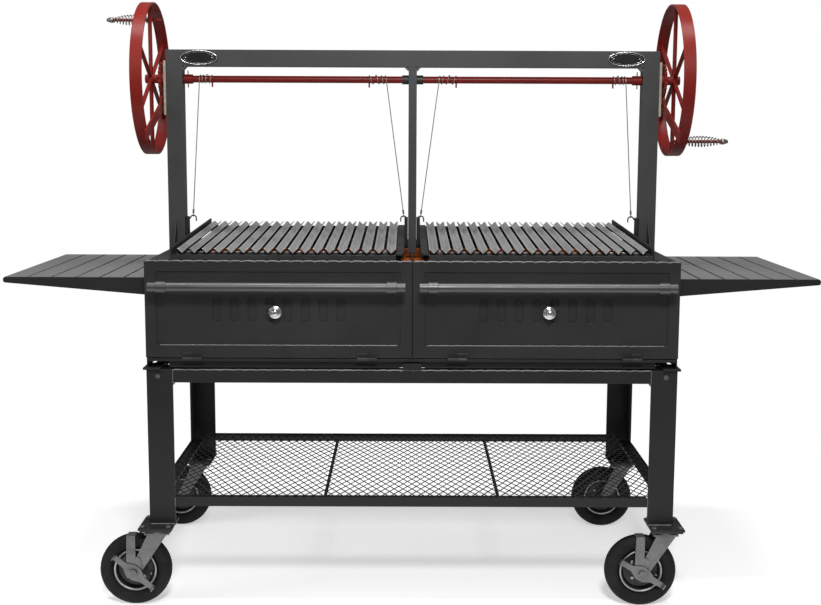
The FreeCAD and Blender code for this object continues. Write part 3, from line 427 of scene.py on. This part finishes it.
def piece(name, verts, faces, material, body, slot, smooth=True, replaces=()):
    mesh = bpy.data.meshes.new(name)
    mesh.from_pydata(verts, [], faces)
    mesh.update()
    mesh.polygons.foreach_set("use_smooth", [smooth] * len(mesh.polygons))
    made = bpy.data.objects.new(name, mesh)
    made.data.materials.append(material)
    bpy.context.scene.collection.objects.link(made)
    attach(made, body)
    if replaces:
        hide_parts(*replaces)
    return made


class Shell:
    """Vertices and faces of one piece, gathered from several closed parts."""

    def __init__(self):
        self.verts = []
        self.faces = []

    def rings(self, rings, closed=False):
        """Skins a list of equal rings of points; open ends get caps."""
        start = len(self.verts)
        count = len(rings[0])
        for ring in rings:
            self.verts.extend(ring)
        pairs = len(rings) if closed else len(rings) - 1
        for index in range(pairs):
            low = start + index * count
            high = start + (index + 1) % len(rings) * count
            for side in range(count):
                after = (side + 1) % count
                self.faces.append((low + side, low + after, high + after, high + side))
        if not closed:
            self.faces.append(tuple(start + side for side in reversed(range(count))))
            last = start + (len(rings) - 1) * count
            self.faces.append(tuple(last + side for side in range(count)))

    def tube(self, path, radius, sides=10, lobes=0, twist=0.0, closed=False):
        """A round tube along a path. radius is a number or a function of the step; lobes
        and twist make the strands of a rope."""
        rings = []
        flat = None
        turned = 0.0
        count = len(path)
        for index, place in enumerate(path):
            before = path[index - 1] if index or closed else path[0]
            after = path[(index + 1) % count] if index < count - 1 or closed else path[-1]
            way = (after - before).normalized()
            if flat is None:
                flat = way.cross(UP if abs(way.z) < 0.9 else Vector((1, 0, 0))).normalized()
            flat = (flat - way * flat.dot(way)).normalized()
            other = way.cross(flat)
            size = radius(index) if callable(radius) else radius
            if index:
                turned += twist * (place - path[index - 1]).length
            ring = []
            for side in range(sides):
                angle = 2 * math.pi * side / sides
                reach = size
                if lobes:
                    reach = size * (0.9 + 0.1 * abs(math.cos(lobes * angle / 2 + turned)))
                ring.append(place + flat * (reach * math.cos(angle)) + other * (reach * math.sin(angle)))
            rings.append(ring)
        self.rings(rings, closed)

    def lathe(self, profile, centre, axis, steps=64, closed=False):
        """Turns a section of (radius, offset) points about an axis."""
        axis = Vector(axis).normalized()
        flat = axis.orthogonal().normalized()
        other = axis.cross(flat)
        rings = []
        for step in range(steps):
            angle = 2 * math.pi * step / steps
            out = flat * math.cos(angle) + other * math.sin(angle)
            rings.append([Vector(centre) + out * radius + axis * offset for radius, offset in profile])
        start = len(self.verts)
        count = len(profile)
        for ring in rings:
            self.verts.extend(ring)
        spans = count if closed else count - 1
        for step in range(steps):
            low = start + step * count
            high = start + (step + 1) % steps * count
            for side in range(spans):
                after = (side + 1) % count
                self.faces.append((low + side, high + side, high + after, low + after))

    def make(self, name, material, body, slot, **options):
        return piece(name, self.verts, self.faces, material, body, slot, **options)


def straight(start, end, step):
    count = max(2, int((end - start).length / step) + 1)
    return [start.lerp(end, index / (count - 1)) for index in range(count)]


def bead_radius(size, pitch, step, seed):
    """A weld bead's radius along its path: overlapping ripples of uneven size."""
    def radius(index):
        along = index * step
        ripple = abs(math.sin(math.pi * along / pitch))
        drift = noise.noise(Vector((along * 60, seed, 0)))
        return size * (0.78 + 0.22 * ripple + 0.18 * drift)
    return radius


def bead(shell, start, end, size, seed, wander=0.0, pitch=0.0042):
    """A weld bead between two points, with its line wandering a little."""
    step = pitch / 4
    path = straight(start, end, step)
    for index, place in enumerate(path):
        along = index * step
        place.z += wander * noise.noise(Vector((along * 28, seed * 3.1, 1)))
    shell.tube(path, bead_radius(size, pitch, step, seed), sides=8)


# ---- welds --------------------------------------------------------------------------------

def scalloped(shell, start, end, size, seed, drop=0.0022, period=0.0345):
    """A dressed bead whose line dips between the welder's even weaves."""
    step = 0.0014
    path = straight(start, end, step)
    for index, place in enumerate(path):
        crest = abs(math.sin(math.pi * index * step / period))
        place.z -= drop * (1 - crest) ** 2
        place.z += 0.0005 * noise.noise(Vector((index * step * 90, seed, 0)))
    shell.tube(path, bead_radius(size, 0.0048, step, seed), sides=8)


def door_beads(materials):
    """The weave along each door's top edge and along its recess's lower edge, in the bright bead colour: a
    painted highlight along those lit edges.
    """
    for side in SIDES:
        low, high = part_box("door_frame_" + side)
        panel_low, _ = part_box("door_panel_" + side)
        face = panel_low.y - 0.004
        shell = Shell()
        top = Vector((0, face + 0.0014, high.z - 0.0008))
        scalloped(shell, top + Vector((low.x + 0.002, 0, 0)), top + Vector((high.x - 0.002, 0, 0)),
                  0.0023, 1.0)
        sill = Vector((0, panel_low.y - 0.0008, panel_low.z + 0.0108))
        border = 0.031
        corner = 0.009
        inset = border + corner
        scalloped(shell, sill + Vector((low.x + inset, 0, 0)), sill + Vector((high.x - inset, 0, 0)),
                  0.0017, 4.0, 0.0008)
        shell.make("door_highlight_bead_" + side, materials["highlight_bead"], "door_" + side, "door_black")


def cart_beads(materials):
    """The weave on the rail's top edge, in the bright bead colour as a painted highlight on that lit edge,
    and fillets where rails and foot plates meet legs.
    """
    low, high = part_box("cart_rails")
    shelf_low, shelf_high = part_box("shelf_frame")
    half = 0.762
    leg = 0.075
    foot_plate = 0.0062
    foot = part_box("caster_plates")[1].z + foot_plate
    front = low.y
    run = half - leg
    highlight_shell = Shell()
    edge = Vector((0, front + 0.001, high.z - 0.0004))
    scalloped(highlight_shell, edge + Vector((-run, 0, 0)), edge + Vector((run, 0, 0)), 0.0019, 3.0, 0.0014)
    highlight_shell.make("rail_highlight_bead", materials["highlight_bead"], "root", "frame_black")
    shell = Shell()
    for x in (-run, run):
        for bottom, top in ((low.z, high.z), (shelf_low.z, shelf_high.z)):
            bead(shell, Vector((x, front - 0.0002, bottom)), Vector((x, front - 0.0002, top)), 0.002, x)
    for sign in (-1, 1):
        corner = Vector((sign * (half - 0.003), front - 0.0004, foot + 0.0012))
        bead(shell, corner, corner - Vector((sign * (leg - 0.006), 0, 0)), 0.003, sign)
        rear = Vector((corner.x, high.y + 0.0004, corner.z))
        bead(shell, rear, rear - Vector((sign * (leg - 0.006), 0, 0)), 0.003, sign + 5)
        side = Vector((sign * (half + 0.0004), front + 0.003, corner.z))
        bead(shell, side, side + Vector((0, leg - 0.006, 0)), 0.003, sign + 9)
        gusset = Vector((sign * run, front + 0.0004, low.z))
        bead(shell, gusset + Vector((-sign * 0.006, 0, 0)), gusset + Vector((0, 0, -0.006)), 0.0026,
             sign + 12)
    shell.make("cart_beads", materials["bead"], "root", "frame_black")


def frame_beads(materials):
    """Fillet welds where the posts meet the beam and stand on the firebox."""
    shell = Shell()
    low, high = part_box("upper_frame")
    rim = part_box("firebox_shell")[1].z
    post = high.y - low.y
    joint = high.z - post
    for sign in (-1, 1):
        inner = sign * (high.x - post)
        outer = sign * high.x
        for y in (low.y - 0.0003, high.y + 0.0003):
            bead(shell, Vector((inner, y, rim + 0.001)), Vector((outer, y, rim + 0.001)), 0.0024, sign + y)
        bead(shell, Vector((inner, low.y + 0.003, rim + 0.001)), Vector((inner, high.y - 0.003, rim + 0.001)),
             0.0024, sign)
        corner = Vector((inner, low.y + 0.002, joint))
        reach = 0.011
        bead(shell, corner + Vector((-sign * reach, 0, 0)), corner + Vector((0, 0, -reach)), 0.0028, sign)
    for sign in (-1, 1):
        corner = Vector((sign * 0.0127, low.y + 0.002, joint))
        bead(shell, corner + Vector((sign * 0.011, 0, 0)), corner + Vector((0, 0, -0.011)), 0.0028, sign + 7)
    shell.make("frame_beads", materials["bead"], "root", "frame_black")


def wheel_beads(materials):
    """Small fillets where each spoke meets the hub and the band."""
    for side in SIDES:
        joint = JOINTS["winch_turn_" + side]
        sign = 1 if side == "right" else -1
        middle = sign * 0.812
        axis = Vector((middle, joint["pos_m"][1], joint["pos_m"][2]))
        band = (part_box("flywheel_" + side)[1].z - axis.z) - 0.006
        shell = Shell()
        for index in range(6):
            angle = 2 * math.pi * index / 6
            way = Vector((0, math.sin(angle), math.cos(angle)))
            for reach, size in ((0.0142, 0.0026), (band - 0.0012, 0.0028)):
                ring = []
                for step in range(28):
                    turn = 2 * math.pi * step / 28
                    flat = way.cross(Vector((1, 0, 0)))
                    ring.append(axis + way * reach + (Vector((1, 0, 0)) * math.cos(turn)
                                                      + flat * math.sin(turn)) * 0.0068)
                wobble = bead_radius(size, 0.004, 0.0015, index + reach)
                shell.tube(ring, wobble, sides=8, closed=True)
        shell.make("wheel_beads_" + side, materials["red"], "winch_" + side, "winch_red")


# ---- winch details ------------------------------------------------------------------------

def grip_spring(side, materials):
    """The tapered coil that spins on the crank's rod, and its turned steel nose."""
    low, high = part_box("crank_grip_" + side)
    sign = 1 if side == "right" else -1
    y = (low.y + high.y) / 2
    z = (low.z + high.z) / 2
    near = min(abs(low.x), abs(high.x))
    far = max(abs(low.x), abs(high.x))
    nose = 0.016
    coil_end = far - nose
    wire = 0.0017
    turns = 11.5
    count = 420
    path = []
    for index in range(count + 1):
        share = index / count
        swell = math.sin(math.pi * min(1.0, 0.16 + share * 0.95)) ** 0.8
        radius = 0.0075 + 0.0082 * swell
        angle = 2 * math.pi * turns * share
        x = sign * (near + wire + share * (coil_end - near - wire))
        path.append(Vector((x, y + radius * math.cos(angle), z + radius * math.sin(angle))))
    shell = Shell()
    shell.tube(path, wire, sides=8)
    shell.make("grip_coil_" + side, materials["spring"], "winch_" + side, "spring_chrome",
               replaces=("crank_grip_" + side,))
    tip = Shell()
    profile = [(0.0052, coil_end - 0.004), (0.0086, coil_end - 0.0035), (0.0092, coil_end - 0.001),
               (0.0088, coil_end + 0.003), (0.0078, coil_end + 0.008), (0.0062, coil_end + 0.012),
               (0.0035, coil_end + 0.0152), (0.0, coil_end + nose - 0.0002)]
    profile = [(radius, sign * offset) for radius, offset in profile]
    tip.lathe(profile, Vector((0, y, z)), (1, 0, 0), 48)
    collar_start = sign * (near - 0.001)
    collar_end = sign * (near + 0.002)
    collar = [(0.0052, collar_end), (0.0095, collar_end), (0.0095, collar_start), (0.0052, collar_start)]
    tip.lathe(collar, Vector((0, y, z)), (1, 0, 0), 40, closed=True)
    tip.make("grip_nose_" + side, materials["spring"], "winch_" + side, "spring_chrome")


def cable_ends(side):
    """Top and bottom of each of a side's two cables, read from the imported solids."""
    points = [vertex.co.copy() for vertex in frame["nodes"]["lift_cables_" + side].data.vertices]
    middle = sum(point.x for point in points) / len(points)
    ends = []
    for keep in (lambda x: x < middle, lambda x: x >= middle):
        group = [point for point in points if keep(point.x)]
        top = max(point.z for point in group)
        low = min(point.z for point in group)
        upper = [point for point in group if point.z > top - 0.003]
        lower = [point for point in group if point.z < low + 0.003]
        ends.append((sum(upper, Vector()) / len(upper), sum(lower, Vector()) / len(lower)))
    return ends


def cables(side, materials):
    joint = JOINTS["winch_turn_" + side]
    axis_y = joint["pos_m"][1]
    axis_z = joint["pos_m"][2]
    cable = 0.0015
    sign = 1 if side == "right" else -1
    hanging = Shell()
    wraps = Shell()
    fittings = Shell()
    for top, low in cable_ends(side):
        hanging.tube(straight(top, low, 0.0022), cable, sides=18, lobes=6, twist=420)
        outer = abs(top.x) > 0.3
        inward = -sign if outer else sign
        length = 0.038 if outer else 0.053
        turns = 3.25
        drum = abs(top.y - axis_y)
        path = []
        count = 190
        for index in range(count + 1):
            share = index / count
            angle = math.pi + 2 * math.pi * turns * share
            slack = 0.0022 * math.exp(-((share - 0.72) / 0.08) ** 2)
            x = top.x + inward * length * (0.55 * share + 0.45 * share ** 2)
            path.append(Vector((x, axis_y + (drum + slack) * math.cos(angle),
                                axis_z - (drum + slack) * math.sin(angle))))
        wraps.tube(path, cable * 0.95, sides=14, lobes=6, twist=420)
        ferrule(fittings, top, low)
    made = hanging.make("cables_" + side, materials["cable"], "root", "cable_steel",
                        replaces=("lift_cables_" + side,))
    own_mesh(made)
    wraps.make("cable_wraps_" + side, materials["cable"], "winch_" + side, "cable_steel")
    fittings.make("cable_ferrules_" + side, materials["zinc"], "grate_" + side, "zinc_plate")


def ferrule(shell, top, low):
    """The crimped sleeve at the cable's end and the eye that sits on the hook."""
    way = (top - low).normalized()
    start = low + way * 0.003
    profile = [(0.0016, 0.0), (0.0029, 0.0006), (0.0031, 0.003), (0.0026, 0.0048), (0.0031, 0.0066),
               (0.0026, 0.0084), (0.0031, 0.0102), (0.0029, 0.0128), (0.0016, 0.0134)]
    shell.lathe(profile, start, way, 24)
    eye = []
    centre = low - UP * 0.0022
    for step in range(32):
        angle = 2 * math.pi * step / 32
        eye.append(centre + Vector((0, 0.0032 * math.cos(angle), 0.0052 * math.sin(angle))))
    shell.tube(eye, 0.0011, sides=8, closed=True)


def bar_lugs(side, materials):
    """Round-topped plates that hold the bars apart just behind the tray."""
    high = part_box("drip_tray_" + side)[1]
    sign = 1 if side == "right" else -1
    pitch = 0.0354
    inner = 0.061
    gaps = 17
    thick = 0.002
    face = high.y + 0.0026
    shell = Shell()
    for index in range(gaps):
        x = sign * (inner + (index + 0.5) * pitch)
        base = high.z + 0.0012
        tall = 0.0095 if index == 0 else 0.0048
        wide = 0.0068 if index == 0 else 0.0088
        rings = []
        for y in (face, face + thick):
            arch = []
            for step in range(15):
                angle = math.pi * step / 14
                arch.append(Vector((x + wide * math.cos(angle), y, base + tall * math.sin(angle))))
            rings.append(arch + [Vector((x - wide, y, base - 0.006)), Vector((x + wide, y, base - 0.006))])
        shell.rings(rings)
    shell.make("bar_lugs_" + side, materials["bars"], "grate_" + side, "grate_steel", smooth=False)


# ---- wheels -------------------------------------------------------------------------------

def tyre(wheel, materials):
    """A pneumatic tyre: rounded carcass, ribbed tread and moulded rings on its sides."""
    low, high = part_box("tyre_" + wheel)
    pos = JOINTS["roll_" + wheel]["pos_m"]
    centre = Vector(pos)
    outer = (high.z - low.z) / 2
    inner = 0.062
    wide = (high.y - low.y) / 2 - 0.0005
    middle = (outer + inner) / 2
    tall = (outer - inner) / 2
    section = []
    count = 88
    for step in range(count):
        angle = 2 * math.pi * step / count
        c, s = math.cos(angle), math.sin(angle)
        radius = middle + tall * math.copysign(abs(s) ** 0.72, s)
        offset = wide * math.copysign(abs(c) ** 0.62, c)
        if s < 0:
            offset *= 1 - 0.38 * abs(s) ** 1.5
        section.append((radius, offset))
    steps = 288
    verts = []
    faces = []
    for turn in range(steps):
        spin = 2 * math.pi * turn / steps
        out = Vector((math.cos(spin), 0, math.sin(spin)))
        for radius, offset in section:
            share = (radius - middle) / tall
            across = abs(offset) / wide
            if share > 0.55:
                groove = any(abs(abs(offset) - place) < 0.0016 for place in (0.0045, 0.0135))
                if groove:
                    radius -= 0.0017
                lug = (turn + (3 if offset > 0 else 0)) % 6
                if across > 0.6 and lug < 2:
                    radius -= 0.0016 * min(1.0, (across - 0.6) * 6)
            ring = math.exp(-((share - 0.12) / 0.035) ** 2) + math.exp(-((share + 0.35) / 0.03) ** 2)
            offset += math.copysign(0.0005 * ring, offset) if across > 0.7 else 0.0
            verts.append(centre + out * radius + Vector((0, offset, 0)))
    for turn in range(steps):
        low_ring = turn * count
        high_ring = (turn + 1) % steps * count
        for side in range(count):
            after = (side + 1) % count
            faces.append((low_ring + side, low_ring + after, high_ring + after, high_ring + side))
    piece("tyre_tread_" + wheel, verts, faces, materials["rubber"], "wheel_" + wheel, "tyre_black",
          replaces=("tyre_" + wheel,))


def rim_details(wheel, materials):
    """Rim bolts, the valve stem and the rolled lip on both faces of the wheel."""
    centre = Vector(JOINTS["roll_" + wheel]["pos_m"])
    shell = Shell()
    for face in (-1, 1):
        axis = Vector((0, face, 0))
        for index in range(4):
            angle = math.pi / 4 + math.pi / 2 * index
            place = centre + Vector((0.033 * math.cos(angle), face * 0.0055, 0.033 * math.sin(angle)))
            shell.lathe([(0.0, 0.0045), (0.0035, 0.0044), (0.0052, 0.0036), (0.0056, 0.0008), (0.0056, 0.0)],
                        place, axis, 24)
        lip = [(0.0605, 0.0155), (0.0628, 0.0172), (0.0625, 0.0188), (0.0598, 0.0192), (0.0572, 0.0178),
               (0.0565, 0.0160), (0.0580, 0.0150)]
        shell.lathe(lip, centre, axis, 128, closed=True)
    stem = centre + Vector((0.045, -0.0055, -0.012))
    shell.lathe([(0.0, 0.013), (0.0022, 0.0128), (0.0026, 0.011), (0.0022, 0.009), (0.0032, 0.008),
                 (0.0036, 0.0)], stem, Vector((0.1, -1, 0)), 20)
    shell.make("rim_details_" + wheel, materials["rim_lip"], "wheel_" + wheel, "rim_grey")


# ---- small parts --------------------------------------------------------------------------

def damper_knob(side, materials):
    """A turned, plated knob on the damper's stem."""
    low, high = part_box("damper_knob_" + side)
    x = (low.x + high.x) / 2
    z = (low.z + high.z) / 2
    size = (high.z - low.z) / 2 * 0.99
    front = low.y
    profile = [(0.0, 0.0), (size * 0.26, 0.0004), (size * 0.46, 0.0020), (size * 0.56, 0.0052),
               (size * 0.52, 0.0084), (size * 0.34, 0.0106), (size * 0.30, 0.0128), (size * 0.36, 0.0142),
               (size * 0.66, 0.0150), (size * 0.72, 0.0160), (size * 0.72, 0.0178), (size * 0.94, 0.0186),
               (size, 0.0198), (size, 0.0218), (size * 0.92, 0.0232), (size * 0.50, 0.0248),
               (size * 0.22, 0.0252), (size * 0.21, 0.0460), (0.0, 0.0461)]
    shell = Shell()
    shell.lathe(smooth_profile(profile), Vector((x, front, z)), (0, 1, 0), 72)
    shell.make("knob_" + side, materials["chrome"], "damper_" + side, "knob_chrome",
               replaces=("damper_knob_" + side,))


def smooth_profile(points, rounds=2):
    """Cuts a section's corners, keeping its two ends."""
    for _ in range(rounds):
        cut = [points[0]]
        for (a, b), (c, d) in zip(points, points[1:]):
            cut.append((a * 0.75 + c * 0.25, b * 0.75 + d * 0.25))
            cut.append((a * 0.25 + c * 0.75, b * 0.25 + d * 0.75))
        cut.append(points[-1])
        points = cut
    return points


def badge_trim(materials):
    """A blank oval badge's bright border, inner line and two rivets."""
    low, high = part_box("badges")
    tall = (high.z - low.z) / 2
    z = (high.z + low.z) / 2
    wide = 0.0575
    shell = Shell()
    for sign in (-1, 1):
        x = sign * (high.x - wide)
        for share, size in ((0.965, 0.0013), (0.82, 0.0005)):
            path = []
            for step in range(96):
                angle = 2 * math.pi * step / 96
                path.append(Vector((x + wide * share * math.cos(angle), low.y + 0.0004,
                                    z + tall * share * math.sin(angle) * (1 if share > 0.9 else 0.94))))
            shell.tube(path, size, sides=8, closed=True)
        for place in (-0.86, 0.86):
            shell.lathe([(0.0, -0.0014), (0.0014, -0.0011), (0.0021, 0.0)],
                        Vector((x + place * wide * 0.82, low.y + 0.0002, z)), (0, 1, 0), 24)
    shell.make("badge_trim", materials["badge_trim"], "root", "badge_black")


# ---- build --------------------------------------------------------------------------------

make_camera()
make_studio()
finishes = make_materials()
dress_nodes(finishes)
door_beads(finishes)
cart_beads(finishes)
frame_beads(finishes)
wheel_beads(finishes)
badge_trim(finishes)
for side_name in SIDES:
    grip_spring(side_name, finishes)
    cables(side_name, finishes)
    bar_lugs(side_name, finishes)
    damper_knob(side_name, finishes)
for wheel_name in WHEELS:
    tyre(wheel_name, finishes)
    rim_details(wheel_name, finishes)
